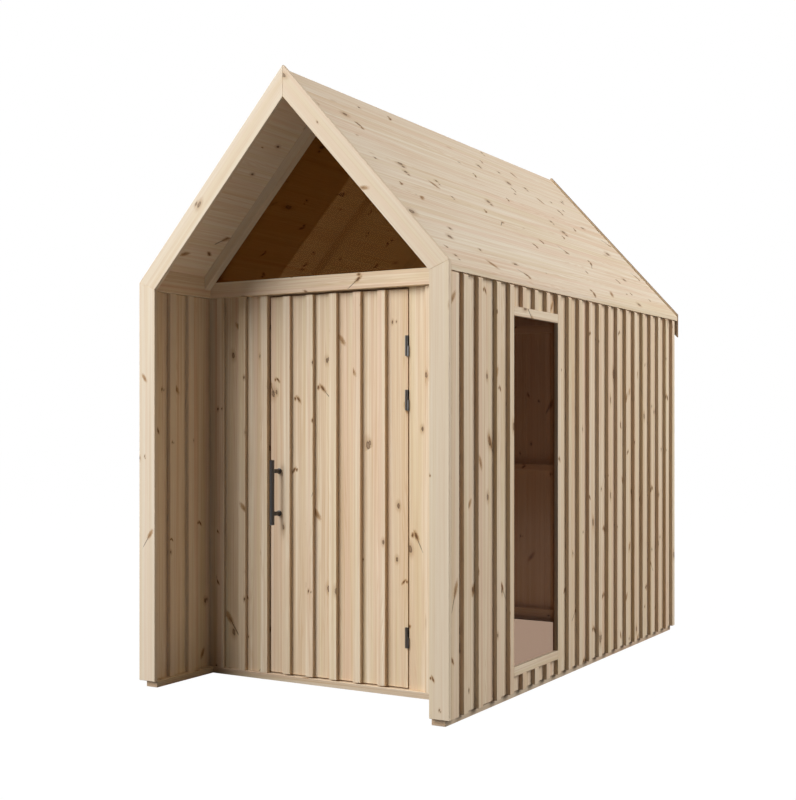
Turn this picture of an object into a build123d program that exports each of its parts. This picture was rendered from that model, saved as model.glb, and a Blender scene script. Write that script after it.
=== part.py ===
from build123d import *
from math import atan, cos
import os

# Wooden garden shed: board and batten walls, a steep gabled roof that runs forward over a porch, an outward
# opening door, a fixed side window and a glazed front gable. Millimetres, +Z up, +Y to the back, origin on
# the ground in the middle of the outline.

# Driving dimensions of the whole shed
outer_width = 1800.0
overall_length = 3208.0
eave_height = 2070.0
ridge_height = 3059.0
porch_depth = 473.0
rear_overhang = 54.0
cladding_lift = 33.0

# Timber sections
board_thickness = 21.0
batten_thickness = 21.0
batten_width = 45.0
trim_width = 102.0
trim_thickness = 22.0
trim_proud = 11.0
deck_thickness = 18.0
stud_width = 45.0
stud_depth = 59.0
plate_height = 49.0
sill_width = 71.0

# Cladding pattern
side_batten_pitch = 145.4
side_batten_setback = 9.0
wing_first_batten = 120.0
wing_batten_pitch = 147.5
wing_batten_count = 2
corner_board_width = 74.0
front_batten_pitch = 144.8
eave_gap = 6.0
mid_rail_height = 1028.0

# Doorway and door
doorway_width = 851.5
doorway_offset = -12.75
hinge_side_gap = 7.0
handle_side_gap = 10.0
door_foot_gap = 7.0
door_head_gap = 11.0
stop_gap = 6.0
stop_overlap = 18.0
lintel_height = 82.0
lintel_proud = 23.0
hinge_bay = 100.0
ledge_height = 95.0
ledge_thickness = 28.0
ledge_inset = 40.0

# Hinges
hinge_length = 102.0
barrel_radius = 6.0
pin_radius = 4.0
pin_clearance = 0.05
knuckle_gap = 0.4
leaf_thickness = 2.2
barrel_stand_off = 7.2
barrel_edge_offset = 6.0
pin_cap = 6.0
low_hinge_rise = 249.0
middle_hinge_drop = 550.0
high_hinge_drop = 281.0

# Bar handle
handle_length = 339.0
handle_spacing = 222.0
handle_middle_height = 988.0
handle_bar_radius = 13.0
handle_setback = 54.0
handle_reach = 66.0
handle_post_radius = 11.0
handle_rose_radius = 15.0
handle_rose_thickness = 6.0

# Side window, gable glass and rafters
window_first_batten = 1
window_bays = 4
window_foot = 114.0
window_head_drop = 104.0
window_rail = 46.0
window_stud_setback = 140.0
glass_cover = 25.0
glass_thickness = 4.0
rafter_section = 49.0
ridge_gap = 4.0

# Planes across the width, on the right-hand side
half_width = outer_width / 2
board_face_x = half_width - batten_thickness
frame_face_x = board_face_x - board_thickness
room_face_x = frame_face_x - stud_depth
wing_board_x = frame_face_x - board_thickness
wing_batten_x = wing_board_x - batten_thickness
sill_face_x = room_face_x + sill_width

# Planes along the length
front_y = -overall_length / 2
back_y = overall_length / 2
trim_back_y = front_y + trim_thickness
porch_back_y = front_y + porch_depth
front_board_y = porch_back_y + batten_thickness
front_frame_y = front_board_y + board_thickness
front_room_y = front_frame_y + stud_depth
deck_back_y = back_y - trim_thickness
rear_batten_y = deck_back_y - rear_overhang
rear_board_y = rear_batten_y - batten_thickness
rear_frame_y = rear_board_y - board_thickness
rear_room_y = rear_frame_y - stud_depth
lintel_y = porch_back_y - lintel_proud

# Roof lines and heights
roof_slope = (ridge_height - eave_height) / half_width
deck_under = trim_proud + deck_thickness
cladding_under = deck_under + eave_gap


def roof_height(x, depth):
    """Height at x of a line that lies at a depth, square to the slope, under the portal's top edge."""
    return ridge_height - roof_slope * abs(x) - depth / cos(atan(roof_slope))


wall_head = roof_height(frame_face_x, deck_under) - plate_height
plate_top = cladding_lift + plate_height
door_foot = cladding_lift + door_foot_gap
door_top = wall_head - door_head_gap
doorway_left = doorway_offset - doorway_width / 2
doorway_right = doorway_offset + doorway_width / 2
door_left = doorway_left + handle_side_gap
door_right = doorway_right - hinge_side_gap
lintel_top = wall_head + lintel_height
mid_rail_top = mid_rail_height + stud_width


def block(x0, x1, y0, y1, z0, z1):
    """A box between two opposite corners."""
    return Pos((x0 + x1) / 2, (y0 + y1) / 2, (z0 + z1) / 2) * Box(x1 - x0, y1 - y0, z1 - z0)


def prism(outline, y0, y1):
    """An outline in X and Z, drawn out along the length."""
    face = make_face(Plane.XZ.offset(-y0) * Polyline(*outline, close=True))
    return extrude(face, amount=y1 - y0, dir=(0, 1, 0))


def under_roof(x0, x1, y0, y1, z0, depth=deck_under):
    """An upright board with a level foot, cut along the slope at a depth, mostly the deck's underside."""
    outline = [(x0, z0), (x1, z0), (x1, roof_height(x1, depth))]
    if x0 < 0 < x1:
        outline.append((0, roof_height(0, depth)))
    outline.append((x0, roof_height(x0, depth)))
    return prism(outline, y0, y1)


def slope_strip(reach, y0, y1, top, bottom, start=0):
    """A strip along the right-hand slope from the ridge out to a reach, between two depths under its top."""
    outline = [(start, roof_height(start, top)), (reach, roof_height(reach, top)),
               (reach, roof_height(reach, bottom)), (start, roof_height(start, bottom))]
    return prism(outline, y0, y1)


def across(piece):
    """The same piece on the left-hand side."""
    return mirror(piece, about=Plane.YZ)


def spread(first, last, count):
    """Evenly spaced places from first to last."""
    step = (last - first) / (count - 1)
    return [first + step * index for index in range(count)]


# Base: sills that lie on the ground
def side_sills():
    right = block(room_face_x, sill_face_x, trim_back_y, rear_batten_y, 0, cladding_lift)
    return [across(right), right]


def end_sills():
    front = block(-room_face_x, room_face_x, porch_back_y, porch_back_y + sill_width, 0, cladding_lift)
    rear_face = rear_frame_y + (sill_width - stud_depth)
    rear = block(-room_face_x, room_face_x, rear_face - sill_width, rear_face, 0, cladding_lift)
    return [front, rear]


# Window places, set out on the side battens
side_first_batten = porch_back_y + side_batten_setback
window_front_y = side_first_batten + side_batten_pitch * window_first_batten
window_back_y = window_front_y + side_batten_pitch * window_bays + batten_width
window_top = wall_head - window_head_drop
pane_front_y = window_front_y + batten_width
pane_back_y = window_back_y - batten_width
pane_foot = window_foot + window_rail
pane_top = window_top - window_rail
glass_front_y = pane_front_y - glass_cover
glass_back_y = pane_back_y + glass_cover
glass_foot = pane_foot - glass_cover
glass_top = pane_top + glass_cover


# Wall boards; those of the sides stop a little under the roof deck
def side_boards(y0, y1, z0):
    """A stretch of boards of the right-hand wall, up to the eave."""
    return under_roof(frame_face_x, board_face_x, y0, y1, z0, cladding_under)


def left_wall_boards():
    return [across(side_boards(trim_back_y, rear_frame_y, cladding_lift))]


def right_wall_boards_beside_window():
    ahead = side_boards(trim_back_y, glass_front_y, cladding_lift)
    behind = side_boards(glass_back_y, rear_frame_y, cladding_lift)
    return [ahead, behind]


def right_wall_boards_at_window():
    over = side_boards(glass_front_y, glass_back_y, glass_top)
    below = block(frame_face_x, board_face_x, glass_front_y, glass_back_y, cladding_lift, glass_foot)
    return [over, below]


def rear_wall_boards():
    return [under_roof(-board_face_x, board_face_x, rear_frame_y, rear_board_y, cladding_lift)]


def front_wall_boards():
    left = block(-frame_face_x, doorway_left, front_board_y, front_frame_y, cladding_lift, wall_head)
    right = block(doorway_right, frame_face_x, front_board_y, front_frame_y, cladding_lift, wall_head)
    return [left, right]


def wing_inner_boards():
    right = block(wing_board_x, frame_face_x, trim_back_y, front_board_y, cladding_lift, wall_head)
    return [across(right), right]


# Battens
wing_first_y = trim_back_y + wing_first_batten
wing_batten_places = [wing_first_y + wing_batten_pitch * index for index in range(wing_batten_count)]
side_batten_count = round((rear_batten_y - batten_width - side_first_batten) / side_batten_pitch)
side_batten_places = [side_first_batten + side_batten_pitch * index for index in range(side_batten_count)]
side_batten_places.append(rear_batten_y - batten_width)
right_batten_count = int((wing_batten_x - doorway_right) / front_batten_pitch)
door_batten_count = int((door_right - hinge_bay - doorway_left) / front_batten_pitch)
left_batten_count = int((doorway_left + wing_batten_x - batten_width) / front_batten_pitch) + 1


def side_batten(place, width=batten_width, foot=cladding_lift):
    """One upright on the outside of the right-hand wall, from its front edge."""
    return under_roof(board_face_x, half_width, place, place + width, foot, cladding_under)


def front_batten(side, step, foot, top):
    """One upright on the front wall or the door, counted in steps from a side of the doorway."""
    edge = side + front_batten_pitch * step
    return block(edge - batten_width, edge, porch_back_y, front_board_y, foot, top)


def left_wall_battens():
    pieces = [side_batten(trim_back_y, corner_board_width)]
    pieces += [side_batten(place) for place in wing_batten_places + side_batten_places]
    return [across(piece) for piece in pieces]


def right_wall_battens():
    pieces = [side_batten(trim_back_y, corner_board_width)]
    for place in wing_batten_places + side_batten_places:
        at_window = window_front_y - batten_width < place < window_back_y
        if not at_window:
            pieces.append(side_batten(place))
        elif window_front_y + batten_width < place < window_back_y - batten_width - batten_width:
            pieces.append(side_batten(place, foot=window_top))
            pieces.append(block(board_face_x, half_width, place, place + batten_width, cladding_lift, window_foot))
    return pieces


def rear_wall_battens():
    reach = board_face_x - batten_width / 2
    count = int(board_face_x / side_batten_pitch) * 2 + 1
    middles = spread(-reach, reach, count)
    half = batten_width / 2
    return [under_roof(x - half, x + half, rear_board_y, rear_batten_y, cladding_lift) for x in middles]


def porch_battens():
    pieces = [front_batten(doorway_left, -step, cladding_lift, wall_head) for step in range(left_batten_count)]
    for step in range(1, right_batten_count + 1):
        pieces.append(front_batten(doorway_right, step, cladding_lift, wall_head))
    for place in wing_batten_places:
        right = block(wing_batten_x, wing_board_x, place, place + batten_width, cladding_lift, wall_head)
        pieces += [across(right), right]
    return pieces


# Portal and roof
def portal_post():
    inner_x = half_width - trim_width
    outline = [(inner_x, cladding_lift), (half_width, cladding_lift), (half_width, eave_height),
               (inner_x, roof_height(inner_x, trim_width))]
    return prism(outline, front_y, trim_back_y)


def portal_rafter():
    inner_x = half_width - trim_width
    outline = [(0, ridge_height), (half_width, eave_height), (inner_x, roof_height(inner_x, trim_width)),
               (0, roof_height(0, trim_width))]
    return prism(outline, front_y, trim_back_y)


def roof_deck():
    return slope_strip(half_width, trim_back_y, deck_back_y, trim_proud, deck_under)


def rear_bargeboard():
    return slope_strip(half_width, deck_back_y, back_y, 0, trim_width)


def front_gable_rafter():
    return slope_strip(room_face_x, lintel_y - rafter_section, lintel_y, deck_under,
                       deck_under + rafter_section)


def rear_gable_rafter():
    return slope_strip(room_face_x, rear_frame_y - rafter_section, rear_frame_y, deck_under,
                       deck_under + rafter_section)


middle_rafter_count = 2
rafter_places = spread(lintel_y - rafter_section, rear_frame_y - rafter_section, middle_rafter_count + 2)


def middle_rafters():
    pieces = []
    for place in rafter_places[1:-1]:
        right = slope_strip(room_face_x, place, place + rafter_section, deck_under,
                            deck_under + rafter_section, ridge_gap / 2)
        pieces += [across(right), right]
    return pieces


def gable_glass():
    return [under_roof(-room_face_x, room_face_x, lintel_y, lintel_y + glass_thickness, lintel_top)]


def lintel():
    return [block(-room_face_x, room_face_x, lintel_y, front_frame_y, wall_head, lintel_top)]


# Door frame
def door_jamb(side):
    """An upright beside the doorway with a rebate that the door closes against."""
    reveal = doorway_left if side < 0 else doorway_right
    outer = reveal + side * stud_width
    inner = reveal - side * stop_overlap
    stop_y = front_frame_y + stop_gap
    outline = [(outer, front_frame_y), (reveal, front_frame_y), (reveal, stop_y), (inner, stop_y),
               (inner, front_room_y), (outer, front_room_y)]
    face = make_face(Pos(0, 0, cladding_lift) * Polyline(*outline, close=True))
    return extrude(face, amount=wall_head - cladding_lift, dir=(0, 0, 1))


def door_jambs():
    return [door_jamb(-1), door_jamb(1)]


def door_head():
    header = block(-room_face_x, room_face_x, front_frame_y, front_room_y, wall_head, lintel_top)
    stop_foot = door_top - stop_overlap
    inner_left = doorway_left + stop_overlap
    inner_right = doorway_right - stop_overlap
    stop = block(inner_left, inner_right, front_frame_y + stop_gap, front_room_y, stop_foot, wall_head)
    return [header + stop]


# Side window: two full battens and two rails lie over the edges of a pane that fills an opening in the boards
def window_stiles():
    return [side_batten(window_front_y), side_batten(pane_back_y)]


def window_rails():
    foot = block(board_face_x, half_width, pane_front_y, pane_back_y, window_foot, pane_foot)
    head = block(board_face_x, half_width, pane_front_y, pane_back_y, pane_top, window_top)
    return [foot, head]


def window_glass():
    inner_face_x = board_face_x - glass_thickness
    return [block(inner_face_x, board_face_x, glass_front_y, glass_back_y, glass_foot, glass_top)]


# Wall frames inside the room
left_stud_count = 5
rear_bay_stud_count = 4
left_stud_places = spread(front_frame_y, rear_frame_y - stud_width, left_stud_count)
first_rear_stud = window_back_y + window_stud_setback
right_stud_places = [front_frame_y] + spread(first_rear_stud, rear_frame_y - stud_width, rear_bay_stud_count)
rear_stud_x = room_face_x * 3 / 8


def side_stud(place):
    return block(room_face_x, frame_face_x, place, place + stud_width, plate_top, wall_head)


def left_wall_studs():
    return [across(side_stud(place)) for place in left_stud_places]


def right_wall_studs():
    return [side_stud(place) for place in right_stud_places]


def rear_wall_studs():
    right = block(rear_stud_x, rear_stud_x + stud_width, rear_room_y, rear_frame_y, plate_top,
                  wall_head - plate_height)
    return [across(right), right]


def side_plates():
    foot = block(room_face_x, frame_face_x, front_frame_y, rear_frame_y, cladding_lift, plate_top)
    head = under_roof(room_face_x, frame_face_x, trim_back_y, rear_frame_y, wall_head)
    return [across(foot), foot, across(head), head]


def end_plates():
    rear_foot = block(-room_face_x, room_face_x, rear_room_y, rear_frame_y, cladding_lift, plate_top)
    rear_tie = block(-room_face_x, room_face_x, rear_room_y, rear_frame_y, wall_head - plate_height, wall_head)
    front_left = block(-room_face_x, doorway_left - stud_width, front_frame_y, front_room_y, cladding_lift, plate_top)
    front_right = block(doorway_right + stud_width, room_face_x, front_frame_y, front_room_y, cladding_lift, plate_top)
    return [rear_foot, rear_tie, front_left, front_right]


def wall_mid_rails():
    pieces = []
    for place, after in zip(left_stud_places, left_stud_places[1:]):
        pieces.append(across(block(room_face_x, frame_face_x, place + stud_width, after,
                                   mid_rail_height, mid_rail_top)))
    for place, after in zip(right_stud_places[1:], right_stud_places[2:]):
        pieces.append(block(room_face_x, frame_face_x, place + stud_width, after, mid_rail_height, mid_rail_top))
    rear_ends = [-room_face_x, -rear_stud_x - stud_width, -rear_stud_x, rear_stud_x,
                 rear_stud_x + stud_width, room_face_x]
    for start, stop in zip(rear_ends[0::2], rear_ends[1::2]):
        pieces.append(block(start, stop, rear_room_y, rear_frame_y, mid_rail_height, mid_rail_top))
    return pieces


# Hinges: the frame carries the lower knuckle and the pin, the door carries the upper knuckle
hinge_x = door_right - barrel_edge_offset
hinge_y = front_board_y - barrel_stand_off
hinge_middles = [door_foot + low_hinge_rise, door_top - middle_hinge_drop, door_top - high_hinge_drop]
half_leaf = leaf_thickness / 2


def leaf(plate_x, foot, top):
    """A plate in the gap beside the door, with a web out to the barrel."""
    plate = block(plate_x, plate_x + leaf_thickness, hinge_y - half_leaf, front_board_y + board_thickness, foot, top)
    web = block(hinge_x, plate_x + leaf_thickness, hinge_y - half_leaf, hinge_y + half_leaf, foot, top)
    return plate + web


def upright(radius, foot, top):
    """A round bar on a hinge axis."""
    return Pos(hinge_x, hinge_y, (foot + top) / 2) * Cylinder(radius, top - foot)


def frame_hinge(middle):
    foot = middle - hinge_length / 2
    knuckle = upright(barrel_radius, foot, middle)
    pin = upright(pin_radius, middle, middle + hinge_length / 2 - pin_cap)
    return knuckle + pin + leaf(doorway_right - leaf_thickness, foot, middle)


def door_hinge(middle):
    foot = middle + knuckle_gap
    top = middle + hinge_length / 2
    bore = upright(pin_radius + pin_clearance, foot, top - pin_cap + knuckle_gap)
    return upright(barrel_radius, foot, top) + leaf(door_right, foot, top) - bore


def frame_hinges():
    return [frame_hinge(middle) for middle in hinge_middles]


# Door
def door_boards():
    return [block(door_left, door_right, front_board_y, front_frame_y, door_foot, door_top)]


def door_battens():
    return [front_batten(doorway_left, step, door_foot, door_top) for step in range(1, door_batten_count + 1)]


def door_ledges():
    pieces = []
    for middle in spread(hinge_middles[0], hinge_middles[-1], len(hinge_middles)):
        pieces.append(block(door_left + ledge_inset, door_right - ledge_inset, front_frame_y,
                            front_frame_y + ledge_thickness, middle - ledge_height / 2, middle + ledge_height / 2))
    return pieces


def door_hinges():
    return [door_hinge(middle) for middle in hinge_middles]


handle_x = door_left + handle_setback
handle_bar_y = front_board_y - handle_reach


def handle_bar():
    return [Pos(handle_x, handle_bar_y, handle_middle_height) * Cylinder(handle_bar_radius, handle_length)]


def handle_standoff(height):
    """A rose on the door and a round post out to the bar, hollowed to the bar's curve."""
    rose = Pos(handle_x, front_board_y - handle_rose_thickness / 2, height) * Rot(X=90) * Cylinder(
        handle_rose_radius, handle_rose_thickness)
    post = Pos(handle_x, front_board_y - handle_reach / 2, height) * Rot(X=90) * Cylinder(
        handle_post_radius, handle_reach)
    return rose + post - handle_bar()[0]


def handle_standoffs():
    half = handle_spacing / 2
    return [handle_standoff(handle_middle_height - half), handle_standoff(handle_middle_height + half)]


# One file for each named piece
single_sided = {
    "portal_post": portal_post, "portal_rafter": portal_rafter, "roof_deck": roof_deck,
    "rear_bargeboard": rear_bargeboard, "front_gable_rafter": front_gable_rafter,
    "rear_gable_rafter": rear_gable_rafter,
}
grouped = [
    side_sills, end_sills, left_wall_boards, right_wall_boards_beside_window, right_wall_boards_at_window,
    rear_wall_boards, front_wall_boards, wing_inner_boards, left_wall_battens, right_wall_battens,
    rear_wall_battens, porch_battens, middle_rafters, gable_glass, lintel, door_jambs, door_head, window_stiles,
    window_rails, window_glass, left_wall_studs, right_wall_studs, rear_wall_studs, side_plates, end_plates,
    wall_mid_rails, frame_hinges, door_boards, door_battens, door_ledges, door_hinges, handle_bar,
    handle_standoffs,
]

os.makedirs("parts", exist_ok=True)
for name, make in single_sided.items():
    right = make()
    export_step(right, f"parts/{name}_right.step")
    export_step(across(right), f"parts/{name}_left.step")
for make in grouped:
    solids = [solid for piece in make() for solid in piece.solids()]
    shape = solids[0] if len(solids) == 1 else Compound(solids)
    export_step(shape, f"parts/{make.__name__}.step")
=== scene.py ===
# %% [markdown]
# # A pine garden shed, board by board
# The shed is a small timber building: upright boards with battens over their joints, a steep roof that
# runs forward over a porch, a batten door, a tall fixed window and a glazed gable. The CAD frame already
# holds every piece at its true size, so this lesson only dresses it. Each timber is made again as a
# planed board with its own run of grain, and glass and ironwork get finishes of their own. We start by
# loading the frame and keeping its box, to measure at the end how far dressing it changed the outside size.

import bpy
import numpy as np
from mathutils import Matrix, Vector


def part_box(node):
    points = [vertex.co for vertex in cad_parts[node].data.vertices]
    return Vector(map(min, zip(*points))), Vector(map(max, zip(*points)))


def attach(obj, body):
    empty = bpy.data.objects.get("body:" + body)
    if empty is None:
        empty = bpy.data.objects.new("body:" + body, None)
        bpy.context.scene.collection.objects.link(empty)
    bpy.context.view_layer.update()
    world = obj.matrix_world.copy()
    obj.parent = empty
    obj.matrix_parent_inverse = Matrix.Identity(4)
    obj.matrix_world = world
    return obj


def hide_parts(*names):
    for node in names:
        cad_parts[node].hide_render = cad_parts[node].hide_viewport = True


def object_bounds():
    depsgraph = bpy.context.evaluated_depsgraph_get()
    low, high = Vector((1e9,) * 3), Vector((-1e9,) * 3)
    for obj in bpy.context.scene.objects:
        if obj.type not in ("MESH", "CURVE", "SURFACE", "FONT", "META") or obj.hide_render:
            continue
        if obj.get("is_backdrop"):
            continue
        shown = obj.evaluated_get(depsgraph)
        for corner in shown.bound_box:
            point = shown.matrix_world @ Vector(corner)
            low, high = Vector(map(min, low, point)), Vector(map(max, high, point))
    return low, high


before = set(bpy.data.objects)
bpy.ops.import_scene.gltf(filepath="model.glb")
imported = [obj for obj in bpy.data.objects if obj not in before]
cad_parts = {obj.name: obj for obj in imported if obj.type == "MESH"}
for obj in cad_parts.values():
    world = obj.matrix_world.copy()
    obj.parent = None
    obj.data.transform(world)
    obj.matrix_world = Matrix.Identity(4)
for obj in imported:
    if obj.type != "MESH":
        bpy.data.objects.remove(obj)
cad_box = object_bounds()
scene = bpy.context.scene
scene.view_settings.view_transform = "Standard"

# %% [markdown]
# ## The camera
# A product view is usually taken level, with the lens shifted up a little, so that upright edges stay
# upright. The place, turn and lens below were solved from the shed's own straight edges: posts, eaves and
# ridge are known lengths, and one camera is left that sees all of them where the picture has them. A
# shift is used in place of a tilt, because a tilt would make the posts lean.

# %% Place the camera
camera_place = (3.5217, -6.5140, 1.3351)
camera_turn_deg = 30.42
lens_mm = 56.785
sensor_mm = 36.0
lens_rise_share = 0.03256

camera_data = bpy.data.cameras.new("level_camera")
camera_data.lens = lens_mm
camera_data.sensor_width = sensor_mm
camera_data.shift_y = lens_rise_share
camera = bpy.data.objects.new("level_camera", camera_data)
camera.location = camera_place
camera.rotation_euler = (np.radians(90), 0, np.radians(camera_turn_deg))
scene.collection.objects.link(camera)
scene.camera = camera
print("camera stands", round(camera_place[2], 2), "m above the ground")

# %% [markdown]
# ## Finding the timbers in the frame
# One CAD node often holds several pieces, such as all battens of a wall. To dress each batten by itself
# we need its box. Blender can separate loose parts with an operator, but that makes many objects. Here
# triangles that share a corner are given the same label with numpy, and each label is one timber.

# %% Boxes of the separate solids in a node
same_place_digits = 5


def solid_boxes(node):
    """Lowest and highest corners of the separate solids in a node, as two arrays with one row for each solid.

    Every corner starts with its own label and takes the lowest label in its triangles, until nothing changes.
    """
    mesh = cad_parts[node].data
    mesh.calc_loop_triangles()
    corners = np.empty(len(mesh.vertices) * 3)
    mesh.vertices.foreach_get("co", corners)
    triangles = np.empty(len(mesh.loop_triangles) * 3, dtype=np.int32)
    mesh.loop_triangles.foreach_get("vertices", triangles)
    places, same = np.unique(np.round(corners.reshape(-1, 3), same_place_digits), axis=0, return_inverse=True)
    triangles = same.reshape(-1)[triangles].reshape(-1, 3)
    label = np.arange(len(places))
    settled = False
    while not settled:
        lowest = label.copy()
        np.minimum.at(lowest, triangles, label[triangles].min(axis=1)[:, None])
        settled = bool((lowest == label).all())
        label = lowest
    members = [places[label == one] for one in np.unique(label)]
    lows = np.array([found.min(axis=0) for found in members])
    highs = np.array([found.max(axis=0) for found in members])
    order = np.lexsort(lows.T)
    return lows[order], highs[order]


side_batten_lows, side_batten_highs = solid_boxes("left_wall_battens")
print("battens on the left wall:", len(side_batten_lows))

# %% [markdown]
# ## The lines of the roof
# Walls, battens and plates all stop at the underside of the sloping deck. The slope comes from the
# portal: its posts end at the eave and its rafters at the ridge. The deck's own box then gives how deep
# it lies under the portal's edge.

# %% Slope, ridge and deck depths
half_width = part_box("portal_post_right")[1].x
eave_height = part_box("portal_post_right")[1].z
ridge_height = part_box("portal_rafter_right")[1].z
slope = (ridge_height - eave_height) / half_width
pitch = np.arctan(slope)
deck_top_depth = (ridge_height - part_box("roof_deck_right")[1].z) * np.cos(pitch)
deck_under_depth = (eave_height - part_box("roof_deck_right")[0].z) * np.cos(pitch)


def deck_underside(x):
    """Height of the deck's underside: ridge, less slope times distance from the middle, less its depth."""
    return ridge_height - slope * np.abs(x) - deck_under_depth / np.cos(pitch)


print("roof pitch", round(float(np.degrees(pitch)), 1), "degrees, ridge at", round(ridge_height, 3), "m")

# %% [markdown]
# ## Writing a mesh from arrays
# Blender can build a mesh from lists with from_pydata, or take whole arrays with foreach_set, which is
# faster and keeps the code free of loops over corners. Each board also carries data of its own: a UV map
# named grain, measured in metres along and across the board, a tone from pale at 0 to straw at 1, and
# marks on its sawn ends and its narrow sides. The pine finish reads these.

# %% Mesh writer
def write_mesh(name, points, face_groups):
    """Makes a mesh object at the origin from points and groups of faces, each a row of corner numbers."""
    corners = np.concatenate([group.reshape(-1) for group in face_groups]).astype(np.int32)
    sizes = np.concatenate([np.full(len(group), group.shape[1]) for group in face_groups])
    starts = np.concatenate([[0], np.cumsum(sizes)[:-1]]).astype(np.int32)
    mesh = bpy.data.meshes.new(name)
    mesh.vertices.add(len(points))
    mesh.vertices.foreach_set("co", points.astype(np.float32).reshape(-1))
    mesh.loops.add(len(corners))
    mesh.loops.foreach_set("vertex_index", corners)
    mesh.polygons.add(len(starts))
    mesh.polygons.foreach_set("loop_start", starts)
    mesh.polygons.foreach_set("use_smooth", np.zeros(len(starts), bool))
    mesh.update(calc_edges=True)
    mesh.validate()
    made = bpy.data.objects.new(name, mesh)
    scene.collection.objects.link(made)
    return made


def write_number(piece, name, domain, values):
    """Keeps one number for each corner or point of a mesh under a name that a finish can read."""
    attribute = piece.data.attributes.new(name, "FLOAT", domain)
    attribute.data.foreach_set("value", values.astype(np.float32))


print("mesh writer ready")

# %% [markdown]
# ## One planed board
# A planed board is a plain section carried along its grain, with the sharp edges taken off. A Bevel
# modifier on a cube would give that too, but no grain to follow. So the section's corners are softened
# first, the ring is carried from the foot to the head, and both ends may be cut at any slant, for mitres
# and for heads under the roof.

# %% Softened sections
arris_m = 0.0022
arris_side_share = 0.3


def soften(sections, arris):
    """Turns each corner into three points: one arris back, the middle of the curve, and one arris on."""
    back = np.roll(sections, 1, axis=1) - sections
    ahead = np.roll(sections, -1, axis=1) - sections
    back_length = np.linalg.norm(back, axis=2, keepdims=True)
    ahead_length = np.linalg.norm(ahead, axis=2, keepdims=True)
    reach = np.minimum(arris, arris_side_share * np.minimum(back_length, ahead_length))
    first = sections + back / back_length * reach
    last = sections + ahead / ahead_length * reach
    middle = (first + 2 * sections + last) / 4
    return np.stack([first, middle, last], axis=2).reshape(len(sections), -1, 2)


def outward(sections, axes):
    """Turns round the sections whose corners would make faces point inwards."""
    x, y = sections[..., 0], sections[..., 1]
    area = (x * np.roll(y, -1, axis=1) - np.roll(x, -1, axis=1) * y).sum(axis=1)
    keep = area * np.linalg.det(axes) > 0
    return np.where(keep[:, None, None], sections, sections[:, ::-1])


print("boards lose", arris_m * 1000, "mm at each edge")

# %% Carried boards
inset_share = 0.7


def carry_boards(name, finish, sections, axes, foot, head, arris=arris_m, origin=(0, 0, 0), tones=(0, 1)):
    """P = origin + a x first axis + b x second axis + length x grain, for all boards at once.

    (a, b) runs round the softened section. Length has four rows: the foot, an arris in from it, an arris in
    from the head, and the head. The outer rows are drawn in a little, so the sawn ends lose their sharp edge
    too. Foot and head are functions of the points on the section, or one length for each board.
    """
    axes = np.asarray(axes, float)
    grain, first, second = axes
    rim = soften(outward(np.asarray(sections, float), axes), arris)
    middle = rim.mean(axis=1, keepdims=True)
    drawn_in = rim - np.sign(rim - middle) * inset_share * arris
    count, turns = rim.shape[:2]
    wide = np.asarray(origin, float) + rim[..., :1] * first + rim[..., 1:] * second
    tight = np.asarray(origin, float) + drawn_in[..., :1] * first + drawn_in[..., 1:] * second
    level = np.zeros((count, turns))
    cut = lambda end, ring: end(ring) if callable(end) else np.reshape(end, (-1, 1)) + level
    back_off = inset_share * arris
    rows = [cut(foot, tight), cut(foot, wide) + back_off, cut(head, wide) - back_off, cut(head, tight)]
    along = np.stack(rows, axis=1)
    rings = np.stack([tight, wide, wide, tight], axis=1) + along[..., None] * grain
    numbers = np.arange(count * 4 * turns).reshape(count, 4, turns)
    following = np.roll(numbers, -1, axis=2)
    sides = np.stack([numbers[:, :-1], following[:, :-1], following[:, 1:], numbers[:, 1:]], axis=-1)
    caps = np.concatenate([numbers[:, 0, ::-1], numbers[:, 3]])
    piece = write_mesh(name, rings.reshape(-1, 3), [sides.reshape(-1, 4), caps])
    write_grain(piece, rim, drawn_in - middle, along, tones)
    piece.data.materials.append(finish)
    return piece


print("ends are drawn in by", inset_share, "of an arris")

# %% Grain of each board
luck = np.random.default_rng(41)
grain_spread_m = 60.0
end_pith = np.array([0.011, 0.047])
arris_limit, narrow_limit = 0.12, 0.6


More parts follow.
